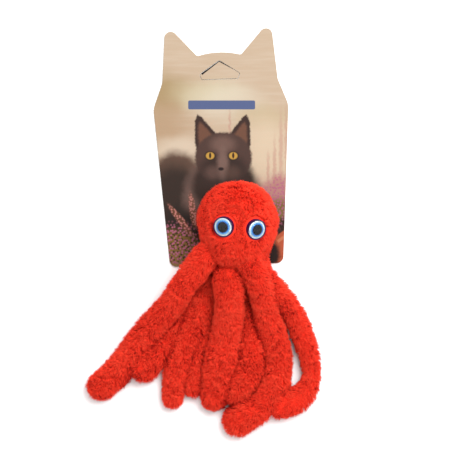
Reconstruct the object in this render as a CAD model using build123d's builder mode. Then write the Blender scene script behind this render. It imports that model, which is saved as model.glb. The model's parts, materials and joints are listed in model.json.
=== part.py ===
from build123d import *

import math
import os

os.makedirs("parts", exist_ok=True)

# A plush octopus that lies on its back on its header card. Millimetres, +Z up,
# +Y towards the card's ears. The origin is on the card's back, under the head.

# The head, a stuffed ball whose lower end is closed by a flat base panel
head_centre = Vector(0, 0, 30)
head_radius = 28.5
head_fabric = 1.4
base_panel_top = -22.0
base_panel_bottom = base_panel_top - head_fabric
filling_gap = 0.2

# The eyes, moulded domes with a shank that a lock washer grips inside the head.
# Heights are above the head's surface at the middle of the eye.
eye_places = {"left": (-10.4, -4.4), "right": (13.8, -6.3)}
eye_radius = 8.0
eye_wall = 0.9
eye_wall_height = 2.2
eye_floor = 1.0
print_gap = 0.05
print_radius = eye_radius - eye_wall - print_gap
print_top = 3.3
print_edge = 1.8
white_ring_inner = 5.7
iris_ring_inner = 4.1
ring_gap = 0.03
lens_top = 4.5
lens_edge = 2.3
lens_gap = 0.08
shank_radius = 1.5
shank_depth = 8.0
shank_gap = 0.2
washer_radius = 5.5
washer_top = -2.1
washer_thickness = 0.8
washer_gap = 0.02
eye_pocket_radius = 6.2

# The arms: each is a root half and a tip half, stuffed sleeves that bend between them
sleeve_fabric = 1.2
root_ball_radius = 6.2
root_taper = 11.0
joint_gap = 0.3
socket_angle = 40.0
socket_taper = 4.5
arc_share = 0.45
hem_radius = 3.9
hem_root = 4.0
floor_height = -0.8
rest_gap = 0.05


def resting(radius):
    """The height of a limb's centre line where it lies on the floor."""
    return floor_height + radius + rest_gap


# Each arm's radius, and its centre line from the root hinge to the middle hinge
# and from there to the middle of its rounded end
arms = {
    "arm_left_outer": (
        7.5,
        [(-25, -24.5, 36), (-33, -37, 33.5), (-41, -49, 29), (-50, -62, 23.5), (-61, -76, 17)],
        [
            (-73.7, -91.3, 10.5),
            (-85.4, -106.9, resting(7.5)),
            (-96.5, -120, resting(7.5)),
            (-105.5, -128, resting(7.5)),
        ],
    ),
    "arm_left_under": (
        6.0,
        [
            (-23.5, -26, 20),
            (-30.5, -39, 14),
            (-36.5, -51.5, 9),
            (-42, -65, 5.8),
            (-48, -79, resting(6.0)),
        ],
        [(-55, -91, resting(6.0)), (-61.5, -102.5, resting(6.0)), (-67, -112.5, resting(6.0))],
    ),
    "arm_left_inner": (
        6.8,
        [
            (-8.5, -30, 13),
            (-16, -43, 10.5),
            (-22.5, -56, 8),
            (-28.5, -70, 6.4),
            (-35.2, -84, resting(6.8)),
        ],
        [
            (-41.5, -98, resting(6.8)),
            (-46.5, -112, resting(6.8)),
            (-49.4, -125, resting(6.8)),
            (-50, -137, resting(6.8)),
        ],
    ),
    "arm_centre_under": (
        5.6,
        [(7, -30.5, 13), (0.5, -43, 10), (-7, -56, 7.5), (-14, -70, 5.4), (-21, -84, resting(5.6))],
        [
            (-26.8, -98, resting(5.6)),
            (-31, -112, resting(5.6)),
            (-33.5, -123, resting(5.6)),
            (-34.8, -131, resting(5.6)),
        ],
    ),
    "arm_centre_front": (
        8.0,
        [(-7.5, -31.5, 38), (-6.5, -44, 36.5), (-6, -57, 31.5), (-6.5, -70, 25.2), (-8, -84, 18.5)],
        [
            (-10.5, -98, 12.2),
            (-14, -112, resting(8.0)),
            (-17.2, -124, resting(8.0)),
            (-19.5, -134, resting(8.0)),
        ],
    ),
    "arm_centre_back": (
        6.8,
        [
            (22.5, -26, 20),
            (18.5, -41, 13.5),
            (13.5, -54, 9),
            (10, -68, 6.5),
            (8.5, -82, resting(6.8)),
        ],
        [
            (9.5, -96, resting(6.8)),
            (11, -109, resting(6.8)),
            (10, -121, resting(6.8)),
            (7, -130, resting(6.8)),
        ],
    ),
    "arm_right_inner": (
        7.2,
        [(9.5, -31, 44), (14.5, -42, 39.5), (18.5, -55, 31), (21.5, -69, 22), (26, -84, 13)],
        [
            (32, -99, resting(7.2)),
            (34.3, -114, resting(7.2)),
            (31, -128, resting(7.2)),
            (22, -139.5, resting(7.2)),
            (11, -148, resting(7.2)),
            (2.5, -153, resting(7.2)),
        ],
    ),
    "arm_right_outer": (
        6.6,
        [(25, -24.5, 35), (31, -40, 29), (38, -56, 20), (45, -72, 11.5), (51, -88, resting(6.6))],
        [
            (56.5, -104, resting(6.6)),
            (58.6, -119, resting(6.6)),
            (55, -133, resting(6.6)),
            (46, -142, resting(6.6)),
            (37, -146, resting(6.6)),
        ],
    ),
}

# The header card, cut to a cat's head. Its outline is given by its right half, as the
# distance off the centre line, the height above the card's foot and the corner radius.
card_thickness = 0.6
card_tilt = 2.1
card_foot = (-8.4, -34.3)
card_outline = [
    (44.3, 0.0, 5.5),
    (52.9, 124.0, 16.0),
    (45.2, 144.0, 12.0),
    (41.4, 191.0, 5.0),
    (17.2, 164.1, 2.0),
    (0.0, 168.0, 60.0),
]

# The delta hang hole, with its flap still in place
hole_crease = 145.3
hole_outline = [
    (14.2, hole_crease, 1.0),
    (16.2, 149.7, 2.0),
    (0.0, 160.4, 2.0),
]
flap_gap = 0.4

# The two plastic tacks that hold the head to the card. Each has a bar inside the
# head and a flat bar that lies in a dent pressed into the card's back.
tack_places = [(-9, 4), (9, 4)]
tack_radius = 0.35
tack_hole_radius = 0.8
tack_bar_length = 7.0
tack_foot_width = 1.4
tack_foot_thickness = 0.3
tack_dent_depth = 0.35
tack_dent_gap = 0.3
tack_top = 7.5
tack_pocket = (3.0, 9.0, 9.0)


def finish(piece, name):
    """Labels a finished piece and writes it as its own file."""
    piece.part.label = name
    export_step(piece.part, "parts/" + name + ".step")


def corner_radii(points):
    """The arc radius at each inner point, as large as its two runs allow."""
    radii = []
    for before, at, after in zip(points, points[1:], points[2:]):
        turn = math.radians((at - before).get_angle(after - at))
        shorter = min((at - before).length, (after - at).length)
        radii.append(arc_share * shorter / math.tan(turn / 2))
    return radii


def add_tube(points, radius):
    """A round tube of one radius along straight runs joined by tangent arcs."""
    with BuildLine() as path:
        FilletPolyline(*points, radius=corner_radii(points))
    with BuildSketch(Plane(origin=path.line @ 0, z_dir=path.line % 0)) as section:
        Circle(radius)
    sweep(section.sketch, path=path.line)


def add_ball(centre, radius, mode=Mode.ADD):
    with Locations(centre):
        Sphere(radius, mode=mode)


def add_cone(start, direction, low_radius, high_radius, length):
    with Locations(Plane(origin=start, z_dir=direction).location):
        Cone(low_radius, high_radius, length, align=(Align.CENTER, Align.CENTER, Align.MIN))


def add_root_limb(radius, route, inset):
    """The root half, from its ball at the head to its ball at the middle hinge."""
    points = [Vector(*place) for place in route]
    direction = (points[1] - points[0]).normalized()
    add_ball(points[0], root_ball_radius - inset)
    add_cone(points[0], direction, root_ball_radius - inset, radius - inset, root_taper)
    add_tube([points[0] + direction * root_taper] + points[1:], radius - inset)
    add_ball(points[-1], radius - inset)


def add_tip_limb(radius, hinge, route, inset):
    """The tip half, from the socket round the middle ball to its rounded end."""
    points = [Vector(*place) for place in [hinge] + route]
    direction = (points[1] - points[0]).normalized()
    socket_radius = radius + joint_gap + inset
    rim_height = (radius + joint_gap) * math.cos(math.radians(socket_angle))
    rim_radius = (radius + joint_gap) * math.sin(math.radians(socket_angle))
    slope = (radius - rim_radius) / socket_taper
    foot_height = rim_height / 2
    foot_radius = rim_radius - slope * (rim_height - foot_height)
    tube_start = rim_height + socket_taper
    foot = points[0] + direction * foot_height
    add_cone(foot, direction, foot_radius - inset, radius - inset, tube_start - foot_height)
    add_tube([points[0] + direction * tube_start] + points[1:], radius - inset)
    add_ball(points[-1], radius - inset)
    add_ball(points[0], socket_radius, mode=Mode.SUBTRACT)


def eye_plane(place):
    """The plane where an eye meets the head, facing straight out of the ball."""
    x, y = place
    z = math.sqrt(head_radius**2 - x**2 - y**2)
    outward = Vector(x, y, z).normalized()
    return Plane(origin=head_centre + outward * head_radius, z_dir=outward)


def card_point(across, up):
    """A point on the card, from its distance off the centre line and above its foot."""
    tilt = math.radians(card_tilt)
    x = card_foot[0] + across * math.cos(tilt) - up * math.sin(tilt)
    y = card_foot[1] + across * math.sin(tilt) + up * math.cos(tilt)
    return (x, y)


def add_card_outline(half):
    """A closed outline on the card, mirrored from its right half."""
    left = [corner for corner in reversed(half) if corner[0] > 0]
    corners = [card_point(across, up) for across, up, _ in half]
    corners += [card_point(-across, up) for across, up, _ in left]
    with BuildLine() as edge:
        FilletPolyline(*corners, radius=[corner[2] for corner in half + left], close=True)
    make_face(edge.edges())


def dome(radius, edge_radius, edge_height, top_height):
    """The height of a round dome above its base at a distance from its axis."""
    rise = top_height - edge_height
    ball = (edge_radius**2 + rise**2) / (2 * rise)
    return top_height - ball + math.sqrt(ball**2 - radius**2)


def printed_height(radius):
    return dome(radius, print_radius, print_edge, print_top)


def print_floor(radius):
    """The flat floor that the printed rings stand on, the same at every radius."""
    return eye_floor


def add_turned_ring(seat, inner, outer, floor, top):
    """A ring turned about the eye's axis, between two heights given as formulas."""
    profile = Plane(origin=seat.origin, x_dir=seat.x_dir, z_dir=-seat.y_dir)
    middle = (inner + outer) / 2
    with BuildSketch(profile) as section:
        with BuildLine():
            ThreePointArc((inner, top(inner)), (middle, top(middle)), (outer, top(outer)))
            Line((outer, top(outer)), (outer, floor(outer)))
            if floor(inner) == floor(outer):
                Line((outer, floor(outer)), (inner, floor(inner)))
            else:
                ThreePointArc((outer, floor(outer)), (middle, floor(middle)), (inner, floor(inner)))
            Line((inner, floor(inner)), (inner, top(inner)))
        make_face()
    revolve(section.sketch, axis=Axis(seat.origin, seat.z_dir))


def add_tack_feet(gap):
    """The outlines of the tacks' flat feet, made larger all round by a gap."""
    with Locations(*tack_places):
        SlotOverall(tack_bar_length + 2 * gap, tack_foot_width + 2 * gap, rotation=90)


# ---- Head

with BuildPart() as head_envelope:
    add_ball(head_centre, head_radius)
    split(bisect_by=Plane.XZ.offset(-base_panel_bottom), keep=Keep.BOTTOM)

with BuildPart() as head_cavity:
    add_ball(head_centre, head_radius - head_fabric)

with BuildPart() as head_front_panel:
    add(head_envelope.part)
    add(head_cavity.part, mode=Mode.SUBTRACT)
    split(bisect_by=Plane.XZ.offset(-base_panel_top), keep=Keep.BOTTOM)
    split(bisect_by=Plane.XY.offset(head_centre.Z), keep=Keep.TOP)
    for place in eye_places.values():
        with BuildSketch(eye_plane(place).offset(-shank_depth)):
            Circle(shank_radius + shank_gap)
        extrude(amount=2 * shank_depth, mode=Mode.SUBTRACT)
finish(head_front_panel, "head_front_panel")

with BuildPart() as head_back_panel:
    add(head_envelope.part)
    add(head_cavity.part, mode=Mode.SUBTRACT)
    split(bisect_by=Plane.XZ.offset(-base_panel_top), keep=Keep.BOTTOM)
    split(bisect_by=Plane.XY.offset(head_centre.Z), keep=Keep.BOTTOM)
    with BuildSketch(Plane.XY):
        with Locations(*tack_places):
            Circle(tack_hole_radius)
    extrude(amount=tack_top, mode=Mode.SUBTRACT)
finish(head_back_panel, "head_back_panel")

with BuildPart() as head_base_panel:
    add(head_envelope.part)
    split(bisect_by=Plane.XZ.offset(-base_panel_top), keep=Keep.TOP)
finish(head_base_panel, "head_base_panel")

with BuildPart() as head_filling:
    add_ball(head_centre, head_radius - head_fabric - filling_gap)
    split(bisect_by=Plane.XZ.offset(-base_panel_top - filling_gap), keep=Keep.BOTTOM)
    for place in eye_places.values():
        with BuildSketch(eye_plane(place).offset(-shank_depth - filling_gap)):
            Circle(eye_pocket_radius)
        extrude(amount=2 * shank_depth, mode=Mode.SUBTRACT)
    for x, y in tack_places:
        with Locations((x, y, tack_top)):
            Box(*tack_pocket, mode=Mode.SUBTRACT)
finish(head_filling, "head_filling")

# ---- Eyes

for side, place in eye_places.items():
    seat = eye_plane(place)

    with BuildPart() as eye_rim:
        with BuildSketch(seat.offset(-eye_wall_height)):
            Circle(eye_radius)
        extrude(amount=2 * eye_wall_height)
        with BuildSketch(seat.offset(eye_floor)):
            Circle(eye_radius - eye_wall)
        extrude(amount=eye_wall_height, mode=Mode.SUBTRACT)
        add_ball(head_centre, head_radius, mode=Mode.SUBTRACT)
        with BuildSketch(seat.offset(-shank_depth)):
            Circle(shank_radius)
        extrude(amount=shank_depth + eye_floor / 2)
    finish(eye_rim, side + "_eye_rim")

    with BuildPart() as eye_white_ring:
        add_turned_ring(seat, white_ring_inner + ring_gap, print_radius, print_floor, printed_height)
    finish(eye_white_ring, side + "_eye_white_ring")

    with BuildPart() as eye_iris_ring:
        add_turned_ring(seat, iris_ring_inner + ring_gap, white_ring_inner, print_floor, printed_height)
    finish(eye_iris_ring, side + "_eye_iris_ring")

    with BuildPart() as eye_pupil:
        add_turned_ring(seat, 0, iris_ring_inner, print_floor, printed_height)
    finish(eye_pupil, side + "_eye_pupil")

    with BuildPart() as eye_lens:
        add_turned_ring(
            seat,
            0,
            print_radius,
            lambda r: printed_height(r) + lens_gap,
            lambda r: dome(r, print_radius, lens_edge, lens_top),
        )
    finish(eye_lens, side + "_eye_lens")

    with BuildPart() as eye_washer:
        with BuildSketch(seat.offset(washer_top - washer_thickness)):
            Circle(washer_radius)
            Circle(shank_radius + washer_gap, mode=Mode.SUBTRACT)
        extrude(amount=washer_thickness)
    finish(eye_washer, side + "_eye_lock_washer")

# ---- Arms

with BuildPart() as arm_root_hems:
    for radius, root_route, tip_route in arms.values():
        pivot = Vector(*root_route[0])
        outward = (pivot - head_centre).normalized()
        reach = (pivot - head_centre).length - head_radius + hem_root
        with BuildSketch(Plane(origin=head_centre + outward * (head_radius - hem_root), z_dir=outward)):
            Circle(hem_radius)
        extrude(amount=reach)
        add_ball(pivot, root_ball_radius + joint_gap, mode=Mode.SUBTRACT)
    add(head_envelope.part, mode=Mode.SUBTRACT)
finish(arm_root_hems, "arm_root_hems")

for arm, (radius, root_route, tip_route) in arms.items():
    hinge = root_route[-1]

    with BuildPart() as root_cavity:
        add_root_limb(radius, root_route, sleeve_fabric)

    with BuildPart() as root_sleeve:
        add_root_limb(radius, root_route, 0)
        add(root_cavity.part, mode=Mode.SUBTRACT)
    finish(root_sleeve, arm + "_root_sleeve")

    with BuildPart() as root_filling:
        add_root_limb(radius, root_route, sleeve_fabric + filling_gap)
    finish(root_filling, arm + "_root_filling")

    with BuildPart() as tip_cavity:
        add_tip_limb(radius, hinge, tip_route, sleeve_fabric)

    with BuildPart() as tip_sleeve:
        add_tip_limb(radius, hinge, tip_route, 0)
        add(tip_cavity.part, mode=Mode.SUBTRACT)
    finish(tip_sleeve, arm + "_tip_sleeve")

    with BuildPart() as tip_filling:
        add_tip_limb(radius, hinge, tip_route, sleeve_fabric + filling_gap)
    finish(tip_filling, arm + "_tip_filling")

# ---- Header card and its tacks

with BuildPart() as header_card:
    with BuildSketch(Plane.XY):
        add_card_outline(card_outline)
    extrude(amount=card_thickness)
    with BuildSketch(Plane.XY):
        add_card_outline(hole_outline)
        with Locations(*tack_places):
            Circle(tack_hole_radius)
    extrude(amount=card_thickness, mode=Mode.SUBTRACT)
    with BuildSketch(Plane.XY):
        add_tack_feet(tack_dent_gap)
    extrude(amount=tack_dent_depth, mode=Mode.SUBTRACT)
finish(header_card, "header_card")

with BuildPart() as hang_flap:
    with BuildSketch(Plane.XY):
        add_card_outline(hole_outline)
        offset(amount=-flap_gap)
    extrude(amount=card_thickness)
finish(hang_flap, "hang_flap")

with BuildPart() as tack_fasteners:
    with BuildSketch(Plane.XY):
        add_tack_feet(0)
    extrude(amount=tack_foot_thickness)
    for x, y in tack_places:
        with Locations((x, y, 0)):
            Cylinder(tack_radius, tack_top, align=(Align.CENTER, Align.CENTER, Align.MIN))
        with Locations((x, y, tack_top)):
            Cylinder(tack_radius, tack_bar_length, rotation=(90, 0, 0))
finish(tack_fasteners, "tack_fasteners")
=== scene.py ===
"""A red plush octopus on its printed header card: fur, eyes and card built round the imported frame."""

import json
import math

import bpy
import numpy as np
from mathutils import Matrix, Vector, kdtree


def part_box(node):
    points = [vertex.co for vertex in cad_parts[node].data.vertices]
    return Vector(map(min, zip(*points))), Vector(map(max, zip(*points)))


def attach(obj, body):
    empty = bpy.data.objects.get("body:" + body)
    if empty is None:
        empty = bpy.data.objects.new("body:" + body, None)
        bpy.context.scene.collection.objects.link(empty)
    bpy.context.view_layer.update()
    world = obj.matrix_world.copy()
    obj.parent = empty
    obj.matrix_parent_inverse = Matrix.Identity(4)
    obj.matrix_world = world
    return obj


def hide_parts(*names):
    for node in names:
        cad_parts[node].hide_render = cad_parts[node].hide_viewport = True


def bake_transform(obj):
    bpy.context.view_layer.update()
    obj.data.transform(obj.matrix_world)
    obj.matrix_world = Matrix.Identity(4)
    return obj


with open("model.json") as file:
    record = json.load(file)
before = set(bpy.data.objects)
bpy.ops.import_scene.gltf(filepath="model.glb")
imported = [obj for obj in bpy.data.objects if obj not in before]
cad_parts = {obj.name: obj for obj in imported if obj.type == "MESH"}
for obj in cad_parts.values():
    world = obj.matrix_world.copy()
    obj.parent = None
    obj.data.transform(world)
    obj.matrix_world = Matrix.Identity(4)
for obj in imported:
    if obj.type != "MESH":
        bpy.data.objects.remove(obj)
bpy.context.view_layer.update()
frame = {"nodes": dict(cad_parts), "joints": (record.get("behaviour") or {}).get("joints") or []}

# ---- What the frame gives: the joints, the head's ball, the floor and the card

MM = 0.001
joints = {joint["name"]: joint for joint in frame["joints"]}
head_low = Vector(np.minimum(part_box("head_front_panel")[0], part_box("head_back_panel")[0]))
head_high = Vector(np.maximum(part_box("head_front_panel")[1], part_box("head_back_panel")[1]))
head_radius = (head_high.x - head_low.x) / 2
head_centre = Vector((0, head_high.y - head_radius, head_high.z - head_radius))
floor_z = min(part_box(node)[0].z for node in frame["nodes"])
card_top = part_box("header_card")[1].z

# ---- Materials


def linear(red, green, blue):
    """A linear colour from its 0 to 255 screen values."""
    channels = [value / 255 for value in (red, green, blue)]
    return tuple(c / 12.92 if c <= 0.04045 else ((c + 0.055) / 1.055) ** 2.4 for c in channels) + (1.0,)


class Shader:
    """A material's node tree, with short calls to add and join nodes."""

    def __init__(self, name):
        self.material = bpy.data.materials.new(name)
        self.material.use_nodes = True
        self.tree = self.material.node_tree
        self.surface = self.tree.nodes["Principled BSDF"]

    def put(self, socket, value):
        """Joins another socket to this one, or sets its value."""
        if isinstance(value, bpy.types.NodeSocket):
            self.tree.links.new(value, socket)
        elif value is not None:
            socket.default_value = value

    def set(self, **values):
        """Puts values into the surface's sockets and returns the finished material."""
        for name, value in values.items():
            self.put(self.surface.inputs[name.replace("_", " ")], value)
        return self.material

    def node(self, kind, **settings):
        made = self.tree.nodes.new("ShaderNode" + kind)
        for name, value in settings.items():
            setattr(made, name, value)
        return made

    def math(self, operation, first, second):
        made = self.node("Math", operation=operation)
        self.put(made.inputs[0], first)
        self.put(made.inputs[1], second)
        return made.outputs[0]

    def place(self):
        """The point on the piece, in the frame's metres."""
        return self.node("TexCoord").outputs["Object"]

    def noise(self, scale, detail=3.0, at=None):
        made = self.node("TexNoise")
        self.put(made.inputs["Vector"], at or self.place())
        made.inputs["Scale"].default_value = scale
        made.inputs["Detail"].default_value = detail
        return made.outputs["Fac"]

    def remap(self, value, low, high, smooth=False):
        """A value stretched so that low gives 0 and high gives 1."""
        made = self.node("MapRange", interpolation_type="SMOOTHSTEP" if smooth else "LINEAR")
        self.put(made.inputs["Value"], value)
        made.inputs["From Min"].default_value = low
        made.inputs["From Max"].default_value = high
        return made.outputs["Result"]

    def mix(self, share, first, second):
        """The first colour where the share is 0 and the second where it is 1."""
        made = self.node("Mix", data_type="RGBA")
        self.put(made.inputs[0], share)
        self.put(made.inputs[6], first)
        self.put(made.inputs[7], second)
        return made.outputs[2]

    def bump(self, height, distance, strength):
        """Gives the surface a fine relief from a height between 0 and 1."""
        made = self.node("Bump")
        made.inputs["Strength"].default_value = strength
        made.inputs["Distance"].default_value = distance
        self.put(made.inputs["Height"], height)
        self.put(self.surface.inputs["Normal"], made.outputs["Normal"])


def fur_material(name, colour, roughness, sheen):
    """One shade of pile, plain over each face: the shade changes from strand to strand, and the deeper shades
    also serve as painted shade.
    """
    return Shader(name).set(
        Base_Color=colour,
        Roughness=roughness,
        Specular_IOR_Level=0.1,
        Sheen_Weight=sheen,
        Sheen_Roughness=0.5,
        Sheen_Tint=(1.0, 0.12, 0.06, 1.0),
    )


def backing_material():
    """The knitted backing that the pile stands on, deeper red in patches."""
    shader = Shader("plush_backing")
    patches = shader.remap(shader.noise(90.0, detail=4.0), 0.35, 0.7, smooth=True)
    knit = shader.node("TexWave", wave_type="BANDS", bands_direction="DIAGONAL")
    shader.put(knit.inputs["Vector"], shader.place())
    knit.inputs["Scale"].default_value = 900.0
    knit.inputs["Distortion"].default_value = 2.0
    shader.bump(knit.outputs["Fac"], 0.00015, 0.6)
    colour = shader.mix(patches, (0.80, 0.030, 0.014, 1.0), (0.93, 0.045, 0.020, 1.0))
    return shader.set(Base_Color=colour, Roughness=0.9, Specular_IOR_Level=0.1)


# Shades of pile: the first three differ at random from tuft to tuft. Each strand's root half takes one step
# deeper as painted shade, strands in the crevices step deeper still as painted shade, and fur_shadow is only
# ever painted shade.
fur_shades = [
    fur_material("fur_bright", (1.0, 0.072, 0.034, 1.0), 0.6, 0.25),
    fur_material("fur_middle", (0.98, 0.058, 0.027, 1.0), 0.65, 0.2),
    fur_material("fur_deep", (0.93, 0.042, 0.019, 1.0), 0.7, 0.15),
    fur_material("fur_shadow", (0.52, 0.014, 0.008, 1.0), 0.8, 0.0),
]
backing = backing_material()

# ---- Mesh helpers

WANDER_OCTAVES = 2
WAVES_PER_OCTAVE = 5


def mesh_object(name, points, faces, materials, slots=None):
    """A smooth mesh piece from arrays: points in metres and rows of corner numbers."""
    mesh = bpy.data.meshes.new(name)
    count = sum(len(rows) for rows in faces)
    loops = np.concatenate([rows.reshape(-1) for rows in faces])
    sizes = np.concatenate([np.full(len(rows), rows.shape[1]) for rows in faces])
    mesh.vertices.add(len(points))
    mesh.vertices.foreach_set("co", np.asarray(points, np.float32).reshape(-1))
    mesh.loops.add(len(loops))
    mesh.loops.foreach_set("vertex_index", loops.astype(np.int32))
    mesh.polygons.add(count)
    starts = np.concatenate([[0], np.cumsum(sizes)[:-1]])
    mesh.polygons.foreach_set("loop_start", starts.astype(np.int32))
    mesh.polygons.foreach_set("use_smooth", np.full(count, True))
    if slots is not None:
        mesh.polygons.foreach_set("material_index", slots.astype(np.int32))
    mesh.update(calc_edges=True)
    mesh.validate()
    for material in materials:
        mesh.materials.append(material)
    piece = bpy.data.objects.new(name, mesh)
    bpy.context.scene.collection.objects.link(piece)
    return piece


def unit(rows):
    """Each row scaled to a length of 1."""
    return rows / np.maximum(np.linalg.norm(rows, axis=-1, keepdims=True), 1e-12)


def wander(points, scale, seed):
    """Smooth noise from about -1 to 1 at each point, made of a few random waves."""
    rng = np.random.default_rng(seed)
    total = np.zeros(len(points))
    for octave in range(WANDER_OCTAVES):
        for _ in range(WAVES_PER_OCTAVE):
            wave = rng.normal(size=3) * (2**octave) / scale
            total += np.sin(points @ wave + rng.uniform(0, 2 * np.pi)) / (2**octave) / 4
    return total


# ---- Fur: a pile of tapered strands in tufts. Sizes are in millimetres, and the
# leans, lifts and spreads are shares of a strand's length or of a direction.

MOST_STRANDS = 19000
STRANDS_PER_MM2 = 3.6
STRAND_SIDES = 3
STRAND_WIDTH = 0.2
STRAND_STRAY = 0.11
STRAND_LENGTHS = (0.75, 1.1)
ROOT_DEPTH = 0.4
MIDDLE_WIDTH = 0.75
MIDDLE_LIFT = 0.12
TIP_SAG = 0.08
PILE_LENGTH = 4.8
PILE_STAND = 0.8
PILE_LEAN = 0.5
PILE_REST = 0.15
PILE_REST_SPREAD = 0.7
PILE_DEPTH = 1.2
TUFT_SIZE = 3.2
TUFT_PULL = 0.24
TUFT_LEAN = 0.12
TUFT_LENGTHS = (0.85, 1.15)
SHADE_PATCH = 9.0
SHADE_SPREAD = 0.5
LONE_SHADE_SHARE = 0.3
OPEN_SHADES = 3
CREVICE_SHADE_STEPS = 3.0
resting_skin = floor_z / MM + PILE_DEPTH


def nearest_rows(centres, points):
    """The row of the centre that lies nearest to each point."""
    tree = kdtree.KDTree(len(centres))
    for number, centre in enumerate(centres):
        tree.insert(centre, number)
    tree.balance()
    return np.array([tree.find(point)[1] for point in points])


def strand_points(roots, normals, middles, tips, rng):
    """Each strand's corners: a ring just under the skin, a thinner ring half way and the tip."""
    along = unit(tips - roots)
    side = unit(np.cross(along, rng.normal(size=along.shape)))
    up = np.cross(along, side)
    rings = []
    for middle, size in ((roots - normals * ROOT_DEPTH, 1.0), (middles, MIDDLE_WIDTH)):
        for corner in range(STRAND_SIDES):
            turn = 2 * math.pi * corner / STRAND_SIDES
            offset = side * math.cos(turn) + up * math.sin(turn)
            rings.append(middle + offset * STRAND_WIDTH * size)
    return np.stack(rings + [tips], axis=1).reshape(-1, 3)


def strand_faces(count):
    """The strands' side faces, then the faces that meet at their tips and the ends that close their roots."""
    corners = list(range(STRAND_SIDES))
    tip = 2 * STRAND_SIDES
    first = np.arange(count)[:, None] * (tip + 1)
    quads, ends = [], []
    for corner in corners:
        following = (corner + 1) % STRAND_SIDES
        quads.append([corner, following, STRAND_SIDES + following, STRAND_SIDES + corner])
        ends.append([STRAND_SIDES + corner, STRAND_SIDES + following, tip])
    ends.append(corners[::-1])
    return [np.concatenate([first + np.array([face]) for face in faces]) for faces in (quads, ends)]


def grow_fur(name, roots, normals, flow, length, crevice_shade, seed):
    """Tapered, bent strands of pile in millimetres, gathered into small tufts, with painted shade deeper in
    the crevices and over each strand's root half.
    """
    rng = np.random.default_rng(seed)
    if len(roots) > MOST_STRANDS:
        chosen = rng.choice(len(roots), MOST_STRANDS, replace=False)
        roots, normals, flow = roots[chosen], normals[chosen], flow[chosen]
        length, crevice_shade = length[chosen], crevice_shade[chosen]
    count = len(roots)
    tuft_count = int(count / (TUFT_SIZE * TUFT_SIZE * STRANDS_PER_MM2))
    centres = roots[rng.choice(count, tuft_count, replace=False)]
    member = nearest_rows(centres, roots)
    tuft_lean = rng.normal(size=(tuft_count, 3)) * TUFT_LEAN
    tuft_length = rng.uniform(*TUFT_LENGTHS, tuft_count)
    tuft_shade = 1 + wander(centres, SHADE_PATCH, seed + 5) + rng.normal(size=tuft_count) * SHADE_SPREAD
    tuft_shade = np.clip(np.round(tuft_shade), 0, OPEN_SHADES - 1)

    reach = length * tuft_length[member] * rng.uniform(*STRAND_LENGTHS, count)
    stray = rng.normal(size=(count, 3)) * STRAND_STRAY
    heading = unit(normals * PILE_STAND + flow * PILE_LEAN + tuft_lean[member] + stray)
    tips = roots + heading * reach[:, None]
    share = TUFT_PULL * rng.uniform(0.4, 1.0, count)[:, None]
    tips = tips * (1 - share) + (centres[member] + heading * reach[:, None]) * share
    tips[:, 2] -= TIP_SAG * reach
    middles = roots * 0.5 + tips * 0.5 + normals * (reach * MIDDLE_LIFT)[:, None]
    lowest = floor_z / MM + PILE_REST
    for rows in (middles, tips):
        rows[:, 2] = np.maximum(rows[:, 2], lowest + rng.uniform(0, PILE_REST_SPREAD, count))

    points = strand_points(roots, normals, middles, tips, rng)
    lone = rng.random(count) < LONE_SHADE_SHARE
    shade = np.where(lone, rng.integers(0, OPEN_SHADES, count), tuft_shade[member])
    # Painted shade: strands hemmed in by another arm or the head step to deeper shades
    shade = shade + np.floor(crevice_shade * CREVICE_SHADE_STEPS + rng.random(count) * SHADE_SPREAD)
    darkest = len(fur_shades) - 1
    shade = np.minimum(shade, darkest)
    # Painted shade: each strand's sides and root end take the next deeper shade, its tip faces keep its own
    lower = np.minimum(shade + 1, darkest)
    slots = np.concatenate([np.tile(lower, STRAND_SIDES), np.tile(shade, STRAND_SIDES), lower])
    return mesh_object(name, points * MM, strand_faces(count), fur_shades, slots)


# ---- Arms: each centre line runs from inside the head to the middle of the
# rounded tip, with the skin's radius at each point, all in millimetres

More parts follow.
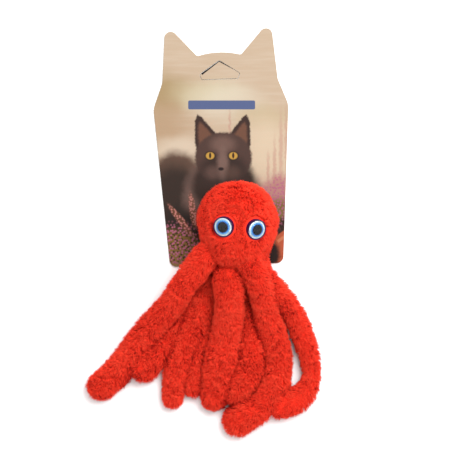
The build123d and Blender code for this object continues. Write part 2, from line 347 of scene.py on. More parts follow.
ARMS = {
    "arm_left_outer": [
        (-13, -14, 34, 6.0), (-23.5, -26.5, 36, 7.6), (-32.5, -38, 33.5, 7.9), (-41, -49, 29, 7.4),
        (-50, -62, 23.5, 7.2), (-61, -76, 17, 7.9), (-73.7, -91.3, 10.5, 8.6), (-85.4, -106.9, 8.0, 8.0),
        (-96.5, -120, 7.6, 8.4), (-106, -129, 7.4, 8.4),
    ],
    "arm_left_under": [
        (-14, -14, 22, 5.0), (-23.5, -26, 20, 6.2), (-30.5, -39, 14, 7.0), (-36.5, -51.5, 9.5, 7.4),
        (-42, -65, 7, 7.4), (-48, -79, 6.2, 7.4), (-55.5, -91, 6.2, 7.8), (-64, -102.5, 6.4, 9.2),
        (-73, -113, 6.6, 9.6),
    ],
    "arm_left_inner": [
        (-5, -18, 15, 5.0), (-8.5, -30, 13, 6.6), (-16, -43, 11.5, 8.2), (-22.5, -56, 10, 9.0),
        (-28.5, -70, 9, 9.4), (-35.2, -84, 8, 8.8), (-41.5, -98, 7.2, 7.8), (-46.5, -112, 6.6, 6.8),
        (-49.4, -125, 6.3, 6.2), (-50.6, -138, 6.1, 5.6),
    ],
    "arm_centre_under": [
        (5, -18, 15, 4.5), (7, -30.5, 13, 5.8), (0.5, -43, 10, 6.2), (-7, -56, 8, 6.4),
        (-14, -70, 6.4, 6.4), (-21, -84, 5.8, 6.4), (-26.8, -98, 5.4, 6.2), (-31, -112, 5.2, 6.0),
        (-33.5, -122, 5.2, 5.6), (-34.6, -129.5, 5.0, 5.2),
    ],
    "arm_centre_front": [
        (-5, -18, 26, 6.0), (-7, -30, 28, 8.0), (-6.5, -42, 33.5, 9.6), (-6, -56, 31.5, 8.8),
        (-6.5, -70, 25.2, 8.4), (-8, -84, 18.5, 8.8), (-10.5, -98, 13.2, 10.4), (-13.6, -112, 9.6, 10.8),
        (-16.2, -124, 8.4, 9.8), (-17.5, -136, 7.8, 9.0),
    ],
    "arm_centre_back": [
        (12, -15, 22, 5.0), (16, -27, 20, 5.4), (16.5, -41, 13.5, 6.8), (13.5, -54, 9.6, 8.0),
        (10.5, -68, 8, 9.0), (9.0, -82, 7.6, 9.6), (9.8, -96, 7.6, 10.0), (10.6, -109, 7.4, 9.8),
        (7.4, -121, 7.2, 9.4), (-0.5, -132.5, 7.0, 8.4),
    ],
    "arm_right_inner": [
        (5, -17, 38, 6.0), (8.5, -30, 43, 7.0), (14, -42, 39.5, 7.2), (18.5, -55, 31, 6.8),
        (22, -69, 22.5, 7.4), (26.5, -84, 14, 8.0), (30.4, -99, 9.0, 7.8), (31.6, -114, 7.8, 7.6),
        (29.5, -128, 7.4, 8.4), (22, -140, 7.4, 9.0), (11, -149, 7.6, 9.8), (0.5, -155.5, 7.6, 9.6),
    ],
    "arm_right_outer": [
        (5, -21, 32, 4.6), (12, -34, 33, 5.0), (20, -44, 30, 6.0), (28.5, -54, 24, 6.2),
        (37.5, -64, 17.5, 6.2), (45, -75, 11.5, 6.4), (50, -88, 7.6, 6.2), (54.7, -102, 6.6, 5.4),
        (57.8, -118, 6.6, 4.6), (54.2, -131.5, 6.8, 6.6), (45.5, -139.5, 7.2, 8.6), (35, -143, 7.4, 9.0),
    ],
}
RING_STEP = 1.6
RING_CORNERS = 28
SPLINE_STEPS = 40

# The skin's swells as shares of its radius with their sizes, and how it rests on the floor
SMALL_LUMP, SMALL_LUMP_SIZE = 0.05, 7.0
LARGE_LUMP, LARGE_LUMP_SIZE = 0.03, 16.0
PRESSED_TILT = 0.15

# The pile's changes over an arm, how far from another arm its painted shade reaches, and where it thins
UNDERSIDE_START = -0.35
UNDERSIDE_SHARE = 0.45
SHAG, SHAG_SIZE = 0.15, 12.0
SWAY, SWAY_SIZE = 0.5, 14.0
CREVICE_REACH = 8.0
CREVICE_FACING = 0.5

# Where an arm's two halves meet and how far their bends reach from the hinges
CUT_PAST_MIDDLE = 4.0
PILE_BEFORE_HINGE = 6.0
PILE_OVERLAP = 2.5
HEAD_BEND = 7 * MM
ARM_BEND = 9 * MM


def spline(rows, step):
    """Evenly spaced points on a smooth curve through the rows (Catmull-Rom)."""
    padded = np.vstack([2 * rows[0] - rows[1], rows, 2 * rows[-1] - rows[-2]])
    dense = []
    for a, b, c, d in zip(padded, padded[1:], padded[2:], padded[3:]):
        for t in np.linspace(0, 1, SPLINE_STEPS, endpoint=False):
            squared = (2 * a - 5 * b + 4 * c - d) * t**2
            cubed = (3 * b - a - 3 * c + d) * t**3
            dense.append(0.5 * (2 * b + (c - a) * t + squared + cubed))
    dense = np.array(dense + [rows[-1]])
    gaps = np.linalg.norm(np.diff(dense[:, :3], axis=0), axis=1)
    length = np.concatenate([[0], np.cumsum(gaps)])
    stations = np.linspace(0, length[-1], int(length[-1] / step))
    return np.stack([np.interp(stations, length, column) for column in dense.T], axis=1), stations


def tube(name, points, corners, flip=False):
    """A closed tube from rings of points in millimetres, each end closed round its middle."""
    rings = len(points) // corners
    ends = points.reshape(rings, corners, 3)[[0, -1]].mean(axis=1)
    corner = np.arange(corners)
    following = (corner + 1) % corners
    ring = np.arange(rings - 1)[:, None] * corners
    above = ring + corners
    quads = np.stack([ring + corner, ring + following, above + following, above + corner], axis=-1)
    last = (rings - 1) * corners
    end = np.full(corners, rings * corners)
    first_cap = np.stack([following, corner, end], axis=1)
    last_cap = np.stack([last + corner, last + following, end + 1], axis=1)
    faces = [quads.reshape(-1, 4), first_cap, last_cap]
    if flip:
        faces = [rows[:, ::-1] for rows in faces]
    return mesh_object(name, np.vstack([points, ends]) * MM, faces, [backing])


class Limb:
    """A stuffed sleeve's surface: rings of points round a curved centre line."""

    def __init__(self, arm, seed):
        rows = np.array(ARMS[arm], float)
        last_step = rows[-1] - rows[-2]
        beyond = rows[-1] + last_step / np.linalg.norm(last_step[:3]) * rows[-1, 3]
        beyond[3] = rows[-1, 3]
        rows, self.stations = spline(np.vstack([rows, beyond]), RING_STEP)
        self.line, self.radius = rows[:, :3], rows[:, 3]
        self.length = self.stations[-1]
        self.seed = seed
        tangent = unit(np.gradient(self.line, axis=0))
        side = unit(np.cross(tangent, [0, 0, 1.0]))
        self.tangent, self.side, self.up = tangent, side, np.cross(side, tangent)

    def surface(self, station, turn):
        """Points and outward directions at distances along the limb and angles round it."""
        at = [np.interp(station, self.stations, self.line[:, k]) for k in range(3)]
        line = np.stack(at, axis=1)
        tangent, side, up = (
            unit(np.stack([np.interp(station, self.stations, rows[:, k]) for k in range(3)], axis=1))
            for rows in (self.tangent, self.side, self.up)
        )
        radius = np.interp(station, self.stations, self.radius)
        tip = self.radius[-1]
        into = np.clip((station - (self.length - tip)) / tip, 0, 1)
        cap = np.sqrt(np.maximum(1 - into**2, 0))
        outward = side * np.cos(turn)[:, None] + up * np.sin(turn)[:, None]
        small = SMALL_LUMP * wander(line + outward * 4, SMALL_LUMP_SIZE, self.seed)
        large = LARGE_LUMP * wander(line, LARGE_LUMP_SIZE, self.seed + 1)
        points = line + outward * (radius * cap * (1 + small + large))[:, None]
        normals = unit(outward * cap[:, None] + tangent * into[:, None])
        pressed = points[:, 2] < resting_skin
        points[pressed, 2] = resting_skin
        normals[pressed] = unit(normals[pressed] * [1.0, 1.0, PRESSED_TILT])
        return points, normals, tangent

    def skin(self, name, start, end):
        """A closed length of the sleeve, from one distance along it to another."""
        inside = self.stations[(self.stations > start + 0.5) & (self.stations < end - 0.5)]
        stations = np.concatenate([[start], inside, [end - 0.02 if end >= self.length else end]])
        turns = np.linspace(0, 2 * math.pi, RING_CORNERS, endpoint=False)
        grid_s, grid_t = np.meshgrid(stations, turns, indexing="ij")
        points, _, _ = self.surface(grid_s.ravel(), grid_t.ravel())
        return tube(name, points, RING_CORNERS)

    def fur(self, name, start, end, seed):
        """Pile over a length of the sleeve, leaning towards its tip and thinner underneath."""
        rng = np.random.default_rng(seed)
        girth = 2 * math.pi * np.interp((start + end) / 2, self.stations, self.radius)
        count = int(girth * (end - start) * STRANDS_PER_MM2)
        station = rng.uniform(start, end, count)
        turn = rng.uniform(0, 2 * math.pi, count)
        underneath = np.sin(turn) < UNDERSIDE_START
        keep = ~underneath | (rng.random(count) < UNDERSIDE_SHARE)
        points, normals, tangent = self.surface(station[keep], turn[keep])
        shag = np.clip(1 + SHAG * wander(points, SHAG_SIZE, seed), 0.75, 1.3)
        sway = SWAY * wander(points, SWAY_SIZE, seed + 9)[:, None] * np.cross(normals, tangent)
        # Painted shade where another arm or the head hems the pile in
        crevice_shade = painted_crevice_shade(points, normals, self)
        return grow_fur(name, points, normals, tangent + sway, PILE_LENGTH * shag, crevice_shade, seed)


def painted_crevice_shade(points, normals, limb):
    """How deep the painted crevice shade on the pile is: how closely another arm or the head hems it in, 1
    where it touches and faces one.
    """
    others = [other for other in limbs.values() if other is not limb]
    centres = np.concatenate([other.line for other in others])
    radii = np.concatenate([other.radius for other in others])
    nearest = nearest_rows(centres, points)
    head = (np.array(head_centre) / MM, head_radius / MM)
    crevice_shade = np.zeros(len(points))
    for middle, radius in ((centres[nearest], radii[nearest]), head):
        towards = middle - points
        gap = np.linalg.norm(towards, axis=1) - radius
        near = np.clip(1 - gap / CREVICE_REACH, 0, 1)
        facing = (unit(towards) * normals).sum(axis=1)
        crevice_shade = np.maximum(crevice_shade, near * np.clip(facing + CREVICE_FACING, 0, 1))
    return crevice_shade


def station_near(limb, place):
    """The distance along the limb of the ring nearest to a point in metres."""
    gaps = np.linalg.norm(limb.line - np.array(place) / MM, axis=1)
    return limb.stations[gaps.argmin()]


def build_arm(arm, limb):
    """The arm's skin and pile in two halves, cut between its hinge at the head and the one half way along."""
    root_hinge = Vector(joints[arm + "_lift"]["pos_m"])
    middle_hinge = Vector(joints[arm + "_curl"]["pos_m"])
    root_station = station_near(limb, root_hinge)
    middle_station = station_near(limb, middle_hinge)
    cut = (root_station + middle_station) / 2 + CUT_PAST_MIDDLE
    root_body, tip_body = arm + "_root", arm + "_tip"
    for half, start, end, held, moving, hinge, station, before in (
        ("upper", 0.0, cut, "root", root_body, root_hinge, root_station, HEAD_BEND),
        ("lower", cut, limb.length, root_body, tip_body, middle_hinge, middle_station, ARM_BEND),
    ):
        skin = limb.skin(arm + "_" + half, start, end)
        pile_start = max(start, root_station - PILE_BEFORE_HINGE)
        pile_end = min(end + PILE_OVERLAP, limb.length)
        fur_seed = limb.seed * 2 + (half == "lower")
        fur = limb.fur(arm + "_" + half + "_fur", pile_start, pile_end, fur_seed)
        for piece in (skin, fur):
            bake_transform(piece)
        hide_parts(moving + "_sleeve", moving + "_filling")


limbs = {arm: Limb(arm, 11 + number) for number, arm in enumerate(ARMS)}
for arm_name, arm_limb in limbs.items():
    build_arm(arm_name, arm_limb)

# ---- Head: a stuffed bell. Its profile is turned about an axis along Y, given as
# the distance from the head's middle towards the arms and the distance off the axis.

HEAD_STEP = 0.9
HEAD_CORNERS = 120
HEAD_LOWER_PROFILE = [
    (7, 28.1), (14, 27.2), (20, 25.6), (25, 23.6), (29.4, 21.0),
    (32.4, 17.0), (32.6, 12.0), (29.5, 6.0), (27, 0.3),
]
CROWN_POINTS = 16
CROWN_START = 0.02
HEAD_SIDE_PULL = 0.13
LARGE_SWELL, LARGE_SWELL_SIZE = 0.5, 12.0
SMALL_SWELL, SMALL_SWELL_SIZE = 0.25, 6.0
SWELL_BALL = 28
HEAD_FUR_END = 0.86
HEAD_PILE_LENGTH = 4.2
HEAD_SHAG, HEAD_SHAG_SIZE = 0.12, 12.0
EYE_CLEARING = 9.0
EYE_COMBING = 15.0
EYE_COMBING_PULL = 1.6


def head_profile():
    """The head's profile, evenly spaced, from the crown round to the middle of its base."""
    radius = head_radius / MM
    turns = np.linspace(CROWN_START, math.pi / 2, CROWN_POINTS)
    crown = [(-radius * math.cos(turn), radius * math.sin(turn)) for turn in turns]
    return spline(np.array(crown + HEAD_LOWER_PROFILE), HEAD_STEP)


profile, profile_stations = head_profile()
profile_normals = unit(np.gradient(profile, axis=0))[:, ::-1] * [-1, 1]


def head_surface(station, turn):
    """Points, outward directions and downward combing on the head, in millimetres."""
    reach, off = (np.interp(station, profile_stations, profile[:, k]) for k in range(2))
    lean, out = (np.interp(station, profile_stations, profile_normals[:, k]) for k in range(2))
    spoke = np.stack([np.cos(turn), np.zeros_like(turn), np.sin(turn)], axis=1)
    ahead = np.array([0.0, -1.0, 0.0])
    normals = unit(spoke * out[:, None] + ahead * lean[:, None])
    off = off * (1 - HEAD_SIDE_PULL * np.cos(turn) ** 2 * np.clip(reach / profile[:, 0].max(), 0, 1))
    ball = normals * SWELL_BALL
    swell = LARGE_SWELL * wander(ball, LARGE_SWELL_SIZE, 3) + SMALL_SWELL * wander(ball, SMALL_SWELL_SIZE, 4)
    points = np.array(head_centre) / MM + spoke * off[:, None] + ahead * reach[:, None]
    points = points + normals * swell[:, None]
    points[:, 2] = np.maximum(points[:, 2], card_top / MM + PILE_DEPTH)
    comb = unit(ahead * out[:, None] - spoke * lean[:, None])
    return points, normals, comb


def build_head():
    """The head's closed skin, with the arms' hems hidden in its base."""
    turn = np.linspace(0, 2 * math.pi, HEAD_CORNERS, endpoint=False)
    grid_s, grid_t = np.meshgrid(profile_stations, turn, indexing="ij")
    points, _, _ = head_surface(grid_s.ravel(), grid_t.ravel())
    head = tube("head_cover", points, HEAD_CORNERS, flip=True)
    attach(head, "root")
    panels = ("head_front_panel", "head_back_panel", "head_base_panel")
    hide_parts(*panels, "head_filling", "arm_root_hems")


def eye_axis(side):
    """The middle of an eye on the head's surface and the direction it faces."""
    low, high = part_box(side + "_eye_lens")
    outward = ((low + high) / 2 - head_centre).normalized()
    return head_centre + outward * head_radius, outward


def build_head_fur():
    """Pile over the head in four pieces, combed away from the crown and clear of the eyes."""
    rng = np.random.default_rng(77)
    length = profile_stations[-1] * HEAD_FUR_END
    widest = profile[:, 1].max()
    count = int(2 * math.pi * widest * length * STRANDS_PER_MM2)
    station = rng.uniform(0, length, count)
    turn = rng.uniform(0, 2 * math.pi, count)
    keep = rng.random(count) < np.interp(station, profile_stations, profile[:, 1]) / widest
    station, turn = station[keep], turn[keep]
    points, normals, comb = head_surface(station, turn)
    for side in ("left", "right"):
        middle, outward = (np.array(value) for value in eye_axis(side))
        offset = points - middle / MM
        off_axis = offset - (offset @ outward)[:, None] * outward
        gap = np.linalg.norm(off_axis, axis=1)
        facing = normals @ outward > 0.5
        part = np.clip((EYE_COMBING - gap) / (EYE_COMBING - EYE_CLEARING), 0, 1) * facing
        comb = comb * (1 - part)[:, None] + unit(off_axis) * (EYE_COMBING_PULL * part)[:, None]
        keep = ~(facing & (gap < EYE_CLEARING))
        points, normals, comb, turn = points[keep], normals[keep], comb[keep], turn[keep]
    quarter = np.floor(((turn + math.pi / 4) % (2 * math.pi)) / (math.pi / 2)).astype(int)
    for number, name in enumerate(("right", "front", "left", "back")):
        chosen = quarter == number
        roots, outward, flow = points[chosen], normals[chosen], comb[chosen]
        pile = HEAD_PILE_LENGTH * np.clip(1 + HEAD_SHAG * wander(roots, HEAD_SHAG_SIZE, 8), 0.8, 1.2)
        # No painted crevice shade on the head's pile
        no_crevice_shade = np.zeros(len(roots))
        fur = grow_fur("head_fur_" + name, roots, outward, flow, pile, no_crevice_shade, 200 + number)
        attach(fur, "root")


build_head()
build_head_fur()

# ---- Eyes: the turned CAD pieces stay, with a finish for each


def finish_node(node, material):
    """Gives a CAD node its material in every slot."""
    piece = bpy.data.objects[node]
    for place in piece.material_slots:
        place.material = material


def moulded_plastic(name, colour, roughness, grain):
    """A moulded plastic with a faint cloudiness in its colour and a fine grain."""
    shader = Shader(name)
    cloud = shader.noise(260.0, detail=3.0)
    darker = tuple(channel * 0.8 for channel in colour[:3]) + (1.0,)
    shader.bump(shader.noise(3000.0, detail=2.0), grain * MM, 0.3)
    clouded = shader.mix(cloud, darker, colour)
    return shader.set(Base_Color=clouded, Roughness=roughness, Specular_IOR_Level=0.2)


def iris_material(name, middle, outward):
    """Two printed blues, split at a ring, with a fine radial grain."""
    shader = Shader(name)
    offset = shader.node("VectorMath", operation="SUBTRACT")
    shader.put(offset.inputs[0], shader.place())
    offset.inputs[1].default_value = middle
    cross = shader.node("VectorMath", operation="CROSS_PRODUCT")
    shader.put(cross.inputs[0], offset.outputs[0])
    cross.inputs[1].default_value = outward
    length = shader.node("VectorMath", operation="LENGTH")
    shader.put(length.inputs[0], cross.outputs[0])
    grain = shader.math("MULTIPLY", shader.noise(2200.0), 0.25 * MM)
    ring = shader.remap(shader.math("ADD", length.outputs["Value"], grain), 4.75 * MM, 5.05 * MM)
    colour = shader.mix(ring, linear(36, 102, 192), linear(102, 168, 218))
    return shader.set(Base_Color=colour, Roughness=0.5, Specular_IOR_Level=0.1)


def build_eyes():
    """Navy rim, white ring, two blues, black pupil and a clear dome on each eye."""
    navy = moulded_plastic("eye_navy", linear(26, 16, 62), 0.3, 0.02)
    white = moulded_plastic("eye_white", linear(208, 218, 223), 0.5, 0.01)
    black = moulded_plastic("eye_black", linear(14, 13, 15), 0.4, 0.01)
    washer = moulded_plastic("washer_plastic", linear(225, 225, 220), 0.5, 0.03)
    clear = Shader("eye_clear").set(
        Base_Color=(1.0, 1.0, 1.0, 1.0), Roughness=0.04, IOR=1.25, Transmission_Weight=1.0
    )
    for side in ("left", "right"):
        middle, outward = eye_axis(side)
        finish_node(side + "_eye_rim", navy)
        finish_node(side + "_eye_white_ring", white)
        finish_node(side + "_eye_iris_ring", iris_material(side + "_eye_blue", middle, outward))
        finish_node(side + "_eye_pupil", black)
        finish_node(side + "_eye_lens", clear)
        finish_node(side + "_eye_lock_washer", washer)


build_eyes()

# ---- Card: board with a printed picture on its front. The picture is painted by
# soft shapes placed in millimetres in the frame, one over the other.

PRINT_GAIN = 0.455


class Print(Shader):
    """A shader that paints shapes over each other on the card's front."""

    def __init__(self, name, ground):
        super().__init__(name)
        self.map = self.node("Mapping")
        self.put(self.map.inputs["Vector"], self.place())
        self.map.inputs["Scale"].default_value = (1 / MM, 1 / MM, 1 / MM)
        self.at = self.map.outputs["Vector"]
        self.colour = ground

    def warped(self, amount, size):
        """The place, shaken by noise, for ragged edges."""
        noise = self.node("TexNoise")
        self.put(noise.inputs["Vector"], self.at)
        noise.inputs["Scale"].default_value = 1 / size
        noise.inputs["Detail"].default_value = 2.0
        centred = self.node("VectorMath", operation="SUBTRACT")
        self.put(centred.inputs[0], noise.outputs["Color"])
        centred.inputs[1].default_value = (0.5, 0.5, 0.5)
        shake = self.node("VectorMath", operation="MULTIPLY_ADD")
        self.put(shake.inputs[0], centred.outputs[0])
        shake.inputs[1].default_value = (2 * amount, 2 * amount, 0)
        self.put(shake.inputs[2], self.at)
        return shake.outputs[0]

    def ellipse(self, x, y, across, up, turn=0.0, soft=0.2, at=None):
        """A mask that is 1 inside an ellipse and fades over a share of its size."""
        local = self.node("Mapping", vector_type="TEXTURE")
        self.put(local.inputs["Vector"], at or self.at)
        local.inputs["Location"].default_value = (x, y, 0)
        local.inputs["Rotation"].default_value = (0, 0, math.radians(turn))
        local.inputs["Scale"].default_value = (across, up, 1e6)
        length = self.node("VectorMath", operation="LENGTH")
        self.put(length.inputs[0], local.outputs[0])
        return self.remap(length.outputs["Value"], 1 + soft, 1 - soft, smooth=True)

    def polygon(self, corners, soft=0.4, at=None):
        """A mask for a convex polygon, its corners given clockwise."""
        mask = None
        for (x0, y0), (x1, y1) in zip(corners, corners[1:] + corners[:1]):
            edge = Vector((x1 - x0, y1 - y0, 0)).normalized()
            inward = Vector((edge.y, -edge.x, 0))
            dot = self.node("VectorMath", operation="DOT_PRODUCT")
            self.put(dot.inputs[0], at or self.at)
            dot.inputs[1].default_value = inward
            level = inward.dot(Vector((x0, y0, 0)))
            side = self.remap(dot.outputs["Value"], level - soft, level + soft, smooth=True)
            mask = side if mask is None else self.math("MINIMUM", mask, side)
        return mask

    def rounded_box(self, x, y, half_width, half_height, corner, soft=0.2):
        """A mask for an upright rectangle with rounded corners."""
        value = self.at
        steps = (
            ("SUBTRACT", (x, y, 0)), ("MULTIPLY", (1, 1, 0)), ("ABSOLUTE", None),
            ("SUBTRACT", (half_width - corner, half_height - corner, 0)), ("MAXIMUM", (0, 0, 0)),
        )
        for operation, operand in steps:
            step = self.node("VectorMath", operation=operation)
            self.put(step.inputs[0], value)
            self.put(step.inputs[1], operand)
            value = step.outputs[0]
        length = self.node("VectorMath", operation="LENGTH")
        self.put(length.inputs[0], value)
        return self.remap(length.outputs["Value"], corner + soft, corner - soft, smooth=True)

    def specks(self, size, share, seed):
        """A mask of small scattered round specks."""
        shift = self.node("VectorMath", operation="ADD")
        self.put(shift.inputs[0], self.at)
        shift.inputs[1].default_value = (seed * 17.3, seed * 9.1, 0)
        cells = self.node("TexVoronoi", voronoi_dimensions="2D")
        self.put(cells.inputs["Vector"], shift.outputs[0])
        cells.inputs["Scale"].default_value = 1 / size
        return self.remap(cells.outputs["Distance"], share + 0.08, share - 0.08)

    def paint_spots(self, spots, at):
        """Paints soft ellipses: each is its middle, half sizes, softness, colour and strength."""
        for x, y, across, up, soft, colour, strength in spots:
            self.paint(self.ellipse(x, y, across, up, soft=soft, at=at), colour, strength)

    def paint(self, mask, colour, strength=1.0):
        """Lays a colour over the picture where the mask is."""
        share = self.math("MULTIPLY", mask, strength) if strength != 1.0 else mask
        self.colour = self.mix(share, self.colour, self.ink(colour))

    def ink(self, colour):
        """A screen colour as ink, toned down to how brightly the lamp lights the card."""
        red, green, blue, _ = linear(*colour)
        return (red * PRINT_GAIN, green * PRINT_GAIN, blue * PRINT_GAIN, 1.0)


def paint_background(card):
    """Warm out-of-focus background, olive at the upper left and creamy in the middle."""
    loose = card.warped(6.0, 24.0)
    streaks = card.node("Mapping")
    card.put(streaks.inputs["Vector"], card.at)
    streaks.inputs["Scale"].default_value = (0.03, 0.35, 1.0)
    grain = card.noise(1.0, detail=3.0, at=streaks.outputs[0])
    card.paint(card.remap(grain, 0.45, 0.7), (238, 214, 188), 0.6)
    spots = (
        (-60, 100, 26, 14, 0.7, (188, 158, 104), 0.8),
        (-60, 72, 24, 20, 0.8, (206, 170, 132), 0.8),
        (-24, 100, 22, 9, 0.8, (236, 220, 182), 0.8),
        (-8, 94, 24, 12, 0.8, (252, 240, 216), 0.6),
        (22, 82, 20, 8, 0.7, (206, 184, 132), 0.5),
        (24, 56, 22, 26, 0.7, (249, 224, 192), 0.9),
        (-46, 58, 20, 9, 0.7, (248, 226, 200), 0.8),
    )
    card.paint_spots(spots, loose)


def paint_heather_behind(card):
    """Blurred pink heather on the right and dark growth below it."""
    ragged = card.warped(1.6, 3.0)
    loose = card.warped(5.0, 9.0)
    stems = ((34, 30, 80, 1.5), (29, 24, 62, 1.2), (24, 28, 52, 1.0), (38, 40, 86, 1.2), (-6, 68, 86, 0.9))
    for x, low, high, width in stems:
        stem = card.ellipse(x, (low + high) / 2, width, (high - low) / 2, soft=0.7, at=ragged)
        card.paint(stem, (214, 156, 138), 0.5)
    spots = (
        (32, 22, 18, 13, 0.5, (203, 132, 128), 0.8),
        (36, 6, 14, 11, 0.4, (140, 112, 58), 0.95),
        (37, -8, 12, 10, 0.4, (52, 34, 14), 1.0),
    )
    card.paint_spots(spots, loose)
    bush = card.ellipse(33, 16, 15, 18, soft=0.4, at=loose)
    card.paint(card.math("MULTIPLY", card.specks(2.2, 0.34, 1), bush), (205, 110, 150), 0.8)


def paint_cat(card):
    """A plain black cat that looks out over the toy."""
    furry = card.warped(0.9, 1.6)
    loose = card.warped(2.5, 7.0)
    card.paint(card.ellipse(-46, 22, 24, 32, turn=8, soft=0.16, at=loose), (112, 82, 66))
    card.paint(card.ellipse(-48, 12, 24, 32, turn=8, soft=0.3, at=loose), (58, 40, 30))
    card.paint(card.ellipse(-30, 22, 12, 24, turn=-12, soft=0.35, at=loose), (128, 98, 88), 0.9)
    card.paint(card.ellipse(-44, -8, 20, 18, soft=0.4, at=loose), (44, 28, 20))
    card.paint(card.ellipse(-10, 28, 26, 20, soft=0.2, at=loose), (58, 36, 26))
    left_ear = [(-31.3, 83.4), (-28.3, 81.6), (-16, 67.5), (-14, 55), (-31, 50), (-33.2, 62), (-33.4, 78)]
    right_ear = [(7.0, 83.4), (9.6, 78.5), (10.3, 60), (8, 50), (-8, 55), (-6.6, 67.5), (4.2, 81.6)]
    for ear in (left_ear, right_ear):
        card.paint(card.polygon(ear, soft=0.8, at=furry), (66, 42, 34))
        middle = [sum(corner[k] for corner in ear) / len(ear) for k in range(2)]
        hollow = [tuple(middle[k] + 0.6 * (corner[k] - middle[k]) for k in range(2)) for corner in ear]
        card.paint(card.polygon(hollow, soft=1.4, at=furry), (134, 88, 66), 0.85)
    face = (
        (-11, 49.5, 22.3, 20, 0.06, (90, 62, 53), 1.0),
        (-11, 38, 19, 15, 0.3, (62, 40, 32), 1.0),
        (-11.5, 60, 9, 6, 0.6, (136, 102, 90), 0.8),
        (-11.5, 45, 4.2, 11, 0.6, (150, 116, 104), 0.8),
        (-19, 38, 6, 5, 0.7, (118, 86, 76), 0.7),
        (-4, 38, 6, 5, 0.7, (104, 74, 62), 0.7),
    )
    card.paint_spots(face, furry)
    nose = (-12.9, 40.8, 2.2, 1.3, 0.4, (44, 24, 22), 1.0)
    card.paint_spots([nose], card.at)
    for x in (-21.4, -3.3):
        lids = (x, 51.1, 4.2, 3.5, 0.25, (36, 22, 18), 1.0)
        iris = (x, 51.1, 3.3, 2.8, 0.2, (224, 172, 74), 1.0)
        slit = (x, 51.3, 0.9, 2.3, 0.3, (60, 38, 18), 1.0)
        card.paint_spots([lids, iris, slit], card.at)


def paint_heather_in_front(card):
    """Green and pink heather at the lower left, with two sprigs that stand up from it."""
    ragged = card.warped(2.0, 4.0)
    card.paint(card.ellipse(-50, -22, 20, 15, soft=0.3, at=ragged), (148, 112, 52), 0.95)
    bed = card.ellipse(-48, -18, 20, 16, soft=0.3, at=ragged)
    card.paint(card.math("MULTIPLY", bed, card.specks(2.6, 0.3, 2)), (74, 52, 14))
    card.paint(card.math("MULTIPLY", bed, card.specks(2.4, 0.32, 3)), (206, 116, 142))
    for x, y, half, turn in ((-44, 0, 15, 38), (-35, 8, 13, 8)):
        sprig = card.ellipse(x, y, 2.4, half, turn=turn, soft=0.3, at=card.warped(0.8, 2.0))
        card.paint(sprig, (150, 92, 62), 0.6)
        card.paint(card.math("MULTIPLY", sprig, card.specks(1.9, 0.4, 4)), (222, 142, 130))


def paint_pot(card):
    """A terracotta pot at the lower right, behind dark leaves."""
    card.paint(card.polygon([(30, -12), (46, 0), (46, -40), (26, -40)], soft=0.5), (214, 104, 66))
    card.paint(card.polygon([(31, -15), (46, -4), (46, -7), (32, -17)], soft=0.4), (238, 146, 100))
    card.paint(card.ellipse(24, -26, 9, 11, soft=0.25, at=card.warped(1.5, 3.0)), (38, 20, 10))


def paint_band(card):
    """The plain blue band under the hang hole."""
    card.paint(card.rounded_box(-12.4, 90.9, 26.2, 3.5, 1.2), (98, 112, 158))


def paint_flap_edge_shadow(card):
    """Painted shadow: a dark line along the upper edges of the hang hole's flap, widest at the left, standing
    for the shade in the cut gap.
    """
    left_shadow = [(-28.6, 115.8), (-14.7, 125.7), (-14.2, 124.9), (-27.6, 114.3)]
    right_shadow = [(-14.4, 125.7), (-3.0, 119.1), (-3.2, 118.7), (-14.6, 124.8)]
    for corners in (left_shadow, right_shadow):
        card.paint(card.polygon(corners, soft=0.15), (36, 26, 22))


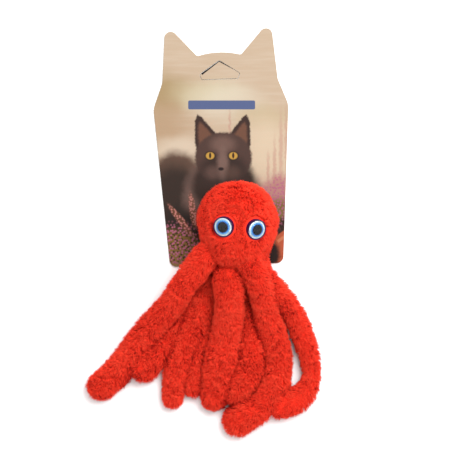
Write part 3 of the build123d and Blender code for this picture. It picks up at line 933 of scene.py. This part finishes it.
def printed_card():
    """The card's picture on its front with a painted shadow along the flap, and bare board on its back and
    edges.
    """
    card = Print("printed_card", None)
    card.colour = card.ink((228, 200, 170))
    paint_background(card)
    paint_heather_behind(card)
    paint_cat(card)
    paint_heather_in_front(card)
    paint_pot(card)
    paint_band(card)
    # Painted shadow along the flap's upper edges
    paint_flap_edge_shadow(card)
    facing = card.node("SeparateXYZ")
    card.put(facing.inputs[0], card.node("TexCoord").outputs["Normal"])
    front = card.remap(facing.outputs["Z"], 0.5, 0.6)
    fibres = card.noise(900.0, detail=4.0)
    board = card.mix(fibres, (0.62, 0.58, 0.50, 1.0), (0.72, 0.68, 0.60, 1.0))
    card.bump(card.noise(700.0, detail=3.0), 0.02 * MM, 0.3)
    return card.set(Base_Color=card.mix(front, board, card.colour), Roughness=0.45, Specular_IOR_Level=0.12)


def build_card():
    """One print over the card and its flap, and nylon tacks."""
    paper = printed_card()
    finish_node("header_card", paper)
    finish_node("hang_flap", paper)
    nylon = moulded_plastic("tack_nylon", linear(232, 232, 226), 0.35, 0.02)
    finish_node("tack_fasteners", nylon)


build_card()

# ---- Floor, light and camera


def build_stage():
    """A pale floor under the toy, a white surround and one large soft lamp."""
    floor_shader = Shader("studio_floor")
    floor_shader.set(Base_Color=(0.93, 0.93, 0.93, 1.0), Roughness=0.9, Specular_IOR_Level=0.1)
    side = 4.0
    z = floor_z - 0.3 * MM
    corners = np.array([(-side, -side, z), (side, -side, z), (side, side, z), (-side, side, z)])
    floor = mesh_object("studio_floor", corners, [np.array([[0, 1, 2, 3]])], [floor_shader.material])

    world = bpy.data.worlds.new("studio")
    bpy.context.scene.world = world
    world.use_nodes = True
    world.node_tree.nodes["Background"].inputs["Color"].default_value = (1.0, 1.0, 1.0, 1.0)
    world.node_tree.nodes["Background"].inputs["Strength"].default_value = 0.95

    lamp = bpy.data.lights.new("key", "AREA")
    lamp.shape = "DISK"
    lamp.size = 1.2
    lamp.energy = 34.0
    key = bpy.data.objects.new("key", lamp)
    key.location = (0.5, 0.6, 1.5)
    key.rotation_euler = (Vector((0, 0, 0)) - key.location).to_track_quat("-Z", "Y").to_euler()
    bpy.context.scene.collection.objects.link(key)


def build_camera():
    """Straight above, framed as the photograph is: head above the middle, arms below."""
    view_width = 358.8 * MM
    distance = 3.2
    aim = Vector((-5.85 * MM, -7.0 * MM, 12 * MM))
    lens = bpy.data.cameras.new("camera")
    lens.sensor_width = 36.0
    lens.lens = lens.sensor_width * distance / view_width
    camera = bpy.data.objects.new("camera", lens)
    camera.location = aim + Vector((0, 0, distance))
    bpy.context.scene.collection.objects.link(camera)
    bpy.context.scene.camera = camera


build_stage()
build_camera()
bpy.context.scene.view_settings.view_transform = "Standard"
